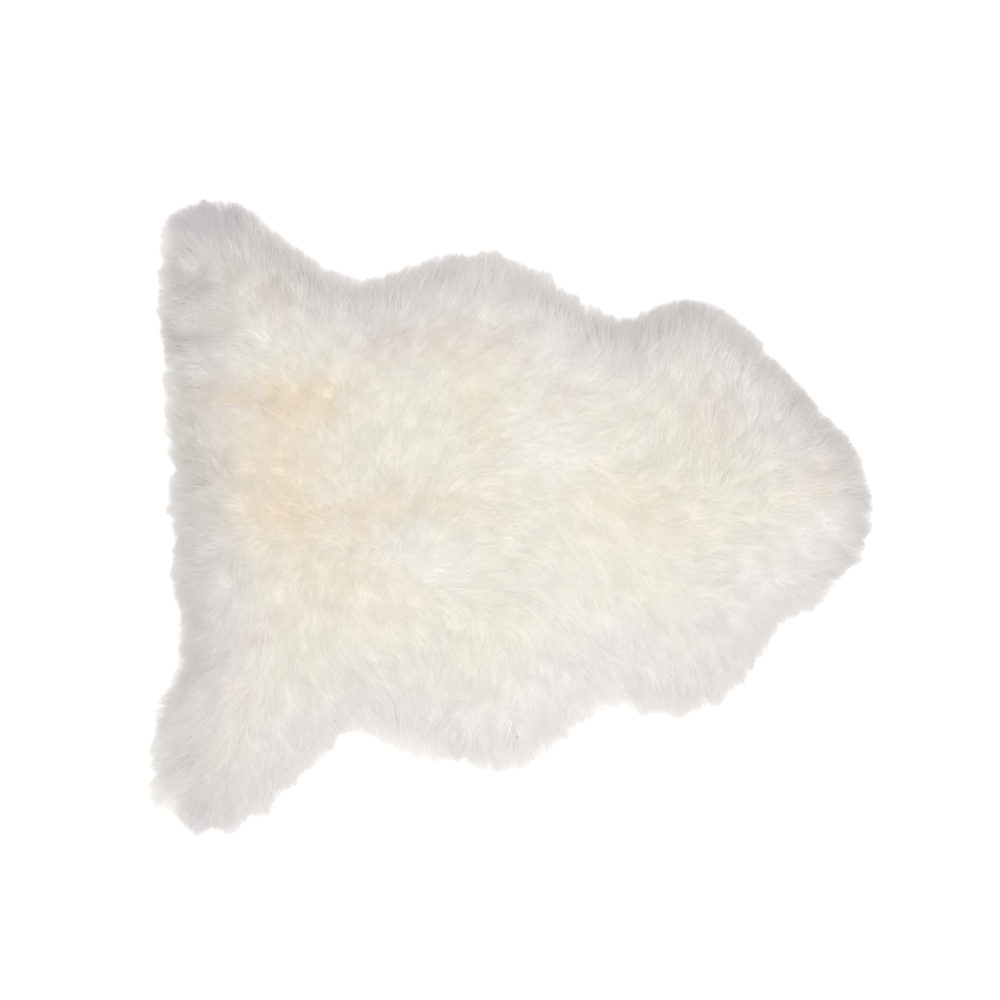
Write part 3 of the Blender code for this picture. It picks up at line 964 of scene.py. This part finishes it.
    mean = np.arcsin(np.clip((finish - start) / size, -0.6, 0.85))
    near = np.clip(1.0 - inward / 70.0, 0.0, 1.0)
    last = np.radians(-3.0 - 22.0 * near - 6.0 * curl + 7.0 * dice.normal(0, 1, n))
    first = np.clip(2 * mean - last, np.radians(-10), np.radians(84))
    last = 2 * mean - first
    bend = clump_bend[clump] + np.radians(5) * dice.normal(0, 1, n)

    path = np.empty((n, steps + 1, 3))
    path[:, 0, :2] = root
    path[:, 0, 2] = start
    tangent = np.empty((n, steps + 1, 3))
    for k in range(steps + 1):
        s = k / steps
        e = first + (last - first) * s
        dx, dy = turned(hx, hy, bend * (s - 0.5) * 2)
        tangent[:, k] = np.column_stack([np.cos(e) * dx, np.cos(e) * dy, np.sin(e)])
    for k in range(steps):
        middle = unit(tangent[:, k] + tangent[:, k + 1])
        path[:, k + 1] = path[:, k] + middle * (size / steps)[:, None]
    drawn = (gather * (1.0 - 0.45 * soft + 0.3 * coarse))[:, None] \
        * (np.arange(steps + 1) / steps)[None, :] ** 1.2
    pull = side * (across * clump_wide[clump])[:, None]
    path[:, :, :2] -= pull[:, None, :] * drawn[:, :, None]
    # The rim's strands draw together into its tufts.
    at_rim = np.clip(1.0 - inward / 62.0, 0.0, 1.0) * rim_draw(at_edge) * 3.5
    ox, oy = out_x_at(root), out_y_at(root)
    path[:, :, :2] += (at_rim[:, None] * (np.arange(steps + 1) / steps) ** 1.6)[:, :, None] \
        * np.column_stack([-oy, ox])[:, None, :]
    to_lock = spots[clump] - locks[lock]
    to_lock *= ((1 - 0.6 * curl) * np.minimum(rough, 1.2))[:, None]
    path[:, :, :2] -= to_lock[:, None, :] * (0.45 * drawn)[:, :, None]
    # Tips by the rim end where the tufts do, and none stands out on top.
    tip = path[:, -1, :2]
    over = -depth_in(tip) - slack
    away = np.linalg.norm(tip - root, axis=1)
    fit = 1.0 - over / (np.maximum(away, 5.0) * np.maximum(toward, 0.6))
    fit = np.clip(fit, 0.7, np.where(reach > to_lip * 0.999, 1.15, 1.0))
    path[:, :, :2] = root[:, None, :] + (path[:, :, :2] - root[:, None, :]) \
        * fit[:, None, None]
    floor = 0.7 + 1.3 * dice.uniform(0, 1, n)
    for k in range(steps + 1):
        path[:, k, 2] = np.clip(path[:, k, 2], floor, top(path[:, k, :2]) + 4.0)

    taper = {2: (1.0, 0.85), 3: (1.0, 0.95, 0.72)}[steps]
    ribbon = width * (1.0 + 0.2 * dice.normal(0, 1, n) - 0.12 * soft
                      + 0.15 * coarse)[:, None] \
        * np.array(taper)
    roll = dice.normal(0, 0.4, n)
    points = 2 * steps + 1
    verts = np.empty((n, points, 3))
    facing = np.empty((n, points, 3))
    # The combed wool is smooth on top, and parts into points at the rim.
    at_side = np.clip((75.0 - inward) / 40.0, 0.0, 1.0) * crisp
    tilt = lock_tilt[lock] * (LOCK_TILT * (0.65 + 0.6 * at_side))[:, None]
    tilt_side = CLUMP_TILT * (0.60 + 1.15 * at_side) * across
    speckle = STRAND_TILT * (1.0 + 1.5 * at_side)[:, None] * dice.normal(0, 1, (n, 2))
    for k in range(steps + 1):
        t = tangent[:, k]
        flat_side = unit(np.column_stack([-t[:, 1], t[:, 0], np.zeros(n)]))
        up_side = np.cross(t, flat_side)
        aim = flat_side * np.cos(roll)[:, None] + up_side * np.sin(roll)[:, None]
        face = fleece_normals(path[:, k, :2])
        face += flat_side * tilt_side[:, None]
        face += t * (DROOP_TILT * (k / steps - 0.5))
        face[:, :2] += tilt + speckle
        face = unit(face)
        if k < steps:
            half = aim * (ribbon[:, k] / 2)[:, None]
            verts[:, 2 * k], verts[:, 2 * k + 1] = path[:, k] + half, path[:, k] - half
            facing[:, 2 * k] = facing[:, 2 * k + 1] = face
        else:
            verts[:, -1], facing[:, -1] = path[:, k], face

    # Each strand has its own small cell of the map, laid out as in the plan.
    columns = int(math.ceil(math.sqrt(n * 1.7)))
    order = in_plan_order(root, columns)
    rows = -(-n // columns)
    verts, facing = verts[order], facing[order]
    breaks = np.array([len(r) for r in np.array_split(np.arange(n), rows)])
    row = np.repeat(np.arange(rows), breaks)
    column = np.arange(n) - np.repeat(np.cumsum(breaks) - breaks, breaks)
    ends = {2: ((0.2, 0.8, 0.2, 0.8, 0.5), (0.1, 0.1, 0.5, 0.5, 0.9)),
            3: ((0.2, 0.8, 0.2, 0.8, 0.2, 0.8, 0.5),
                (0.1, 0.1, 0.37, 0.37, 0.64, 0.64, 0.9))}[steps]
    uv = np.stack([(column[:, None] + np.array(ends[0])) / columns,
                   (row[:, None] + np.array(ends[1])) / rows], axis=2)

    corner = {2: [0, 1, 3, 2, 2, 3, 4], 3: [0, 1, 3, 2, 2, 3, 5, 4, 4, 5, 6]}[steps]
    loops = (np.array(corner)[None, :] + points * np.arange(n)[:, None]).ravel()
    starts = (4 * np.arange(steps)[None, :]
              + len(corner) * np.arange(n)[:, None]).ravel()
    mesh = bpy.data.meshes.new(name)
    mesh.vertices.add(n * points)
    mesh.vertices.foreach_set("co", (verts * MM).astype(np.float32).ravel())
    mesh.loops.add(len(loops))
    mesh.loops.foreach_set("vertex_index", loops.astype(np.int32))
    mesh.polygons.add(len(starts))
    mesh.polygons.foreach_set("loop_start", starts.astype(np.int32))
    mesh.update(calc_edges=True)
    mesh.shade_smooth()
    mesh.normals_split_custom_set_from_vertices(facing.reshape(-1, 3).tolist())

    layer = mesh.color_attributes.new("wool", "FLOAT_COLOR", "POINT")
    rgb = wool_colours_and_painted_shade((root + heading * (size * 0.5)[:, None])[order])
    # Painted light: strands that end deeper in the fleece are painted up to 18 % brighter,
    # less by the rim, to lift the shade that falls on them.
    rgb *= (1.0 + (0.18 - 0.11 * np.minimum(at_side, 1)) * np.clip(deep / under, 0, 1)
            )[order, None]
    rgb *= np.minimum(1.0, 0.90 / rgb.max(axis=1, keepdims=True))
    rgba = np.column_stack([rgb, np.ones(n)]).astype(np.float32)
    layer.data.foreach_set("color", np.repeat(rgba, points, axis=0).ravel())
    along = mesh.attributes.new("along", "FLOAT", "POINT")
    along.data.foreach_set("value", np.tile(
        np.minimum(np.arange(points) // 2 / steps, 1.0).astype(np.float32), n))
    tone_and_painted_light = mesh.attributes.new("tone_and_painted_light", "FLOAT", "POINT")
    # Single locks and strands tell more at the rim, where the wool is thin.
    tell = 0.15 + 0.75 * crisp * np.clip((64.0 - inward) / 34.0, 0.0, 1.0)
    value = 0.5 + tell * (0.15 * lock_tone[lock] + 0.50 * clump_tone[clump]
                          + 0.35 * dice.uniform(0, 1, n) - 0.5)
    value = value[order]
    # Painted light and shade along each strand: where the wool is soft its roots are painted
    # brighter than its tips, to lift the shade between strands, and at the coarse rump
    # darker, to deepen it. The rim's painted light and shade is added on top.
    rise = 1.0 - np.minimum(np.arange(points) // 2 / steps, 1.0)
    painted_root_light = (0.40 * np.clip(1.0 - at_side, 0, 1) - 0.40 * coarse)[order, None] * (rise - 0.42)
    value = (value[:, None] + painted_root_light).ravel() + painted_rim_light(verts.reshape(-1, 3)[:, :2])
    tone_and_painted_light.data.foreach_set("value", value.astype(np.float32))
    layer = mesh.uv_layers.new(name="OFBake")
    layer.data.foreach_set("uv", uv.reshape(-1, 2)[loops].astype(np.float32).ravel())
    return place(name, mesh, material)


CLUMP_TILT = 0.15      # strands at a clump's sides face away from its middle
LOCK_TILT = 0.035      # each lock lies a little its own way
DROOP_TILT = 0.15      # tips turn down
STRAND_TILT = 0.02

wool_strands = strand_material()
LONG, SHORT = 38600, 64300        # strands a piece, of three bends and of two
pieces = [
    make_strands("fleece_under", 1, SHORT, 2, 4, 0.80, (38, 25), 0.3, 0.12, 9, 0.6,
                 wool_strands),
    make_strands("fleece_inner", 2, SHORT, 2, 5, 0.65, (42, 28), 0.5, 0.09, 6, 0.6,
                 wool_strands),
    make_strands("fleece_middle", 3, LONG, 3, 5, 0.58, (46, 30), 0.6, 0.06, 5, 0.6,
                 wool_strands),
    make_strands("fleece_outer", 4, LONG, 3, 5, 0.52, (48, 32), 0.65, 0.04, 5, 0.6,
                 wool_strands),
    make_strands("fleece_wisps", 5, LONG, 3, 3, 0.42, (50, 34), 0.5, 0.03, 9, 0.9,
                 wool_strands),
]


# -------------------------------------------------------------------- studio
def studio():
    scene = bpy.context.scene
    mesh = bpy.data.meshes.new("floor")
    s = 30.0
    mesh.from_pydata([(-s, -s, -0.0004), (s, -s, -0.0004), (s, s, -0.0004),
                      (-s, s, -0.0004)], [], [(0, 1, 2, 3)])
    floor = bpy.data.objects.new("floor", mesh)
    scene.collection.objects.link(floor)
    m = bpy.data.materials.new("pale_floor")
    m.use_nodes = True
    t = m.node_tree
    shader = t.nodes["Principled BSDF"]
    cloud = noise(t, 1.5, 2.0)
    colour = mix_colours(t, "MIX", map_range(t, cloud, 0.3, 0.7, 0.0, 1.0),
                         (0.93, 0.93, 0.93, 1.0), (0.91, 0.91, 0.91, 1.0))
    t.links.new(colour, shader.inputs["Base Color"])
    shader.inputs["Roughness"].default_value = 0.9
    shader.inputs["Specular IOR Level"].default_value = 0.1
    # A lit table: it glows a little, as under a cut-out product shot.
    shader.inputs["Emission Color"].default_value = (1.0, 1.0, 1.0, 1.0)
    shader.inputs["Emission Strength"].default_value = 0.30
    mesh.materials.append(m)

    world = bpy.data.worlds.new("studio")
    world.use_nodes = True
    back = world.node_tree.nodes["Background"]
    back.inputs["Color"].default_value = (1.0, 1.0, 1.0, 1.0)
    back.inputs["Strength"].default_value = 0.35
    # The room looks paler than the light that it gives.
    t = world.node_tree
    seen = node(t, "ShaderNodeLightPath").outputs["Is Camera Ray"]
    t.links.new(map_range(t, seen, 0.0, 1.0, 0.35, 1.0), back.inputs["Strength"])
    scene.world = world

    # A broad light overhead, and a softer one low to the right of the view.
    for name, energy, spread, place_at in (("overhead", 1.58, 12, (0.0, 0.0, 2.6)),
                                           ("softbox", 1.20, 38, (1.4, -1.7, 2.2))):
        data = bpy.data.lights.new(name, "SUN")
        data.energy = energy
        data.angle = math.radians(spread)
        lamp = bpy.data.objects.new(name, data)
        lamp.location = place_at
        lamp.rotation_euler = (-lamp.location).to_track_quat("-Z", "Y").to_euler()
        scene.collection.objects.link(lamp)

    data = bpy.data.cameras.new("camera")
    data.lens = 72.0
    data.sensor_width = 36.0
    camera = bpy.data.objects.new("camera", data)
    # Straight down, with the neck to the right of the picture.
    camera.location = (-0.0128, 0.0220, 2.59)
    camera.rotation_euler = (0.0, 0.0, 0.0)
    scene.collection.objects.link(camera)
    scene.camera = camera
    scene.view_settings.view_transform = "Standard"
    scene.view_settings.gamma = 1.4
    # Light wanders far in pale wool.
    scene.cycles.diffuse_bounces = 8


studio()
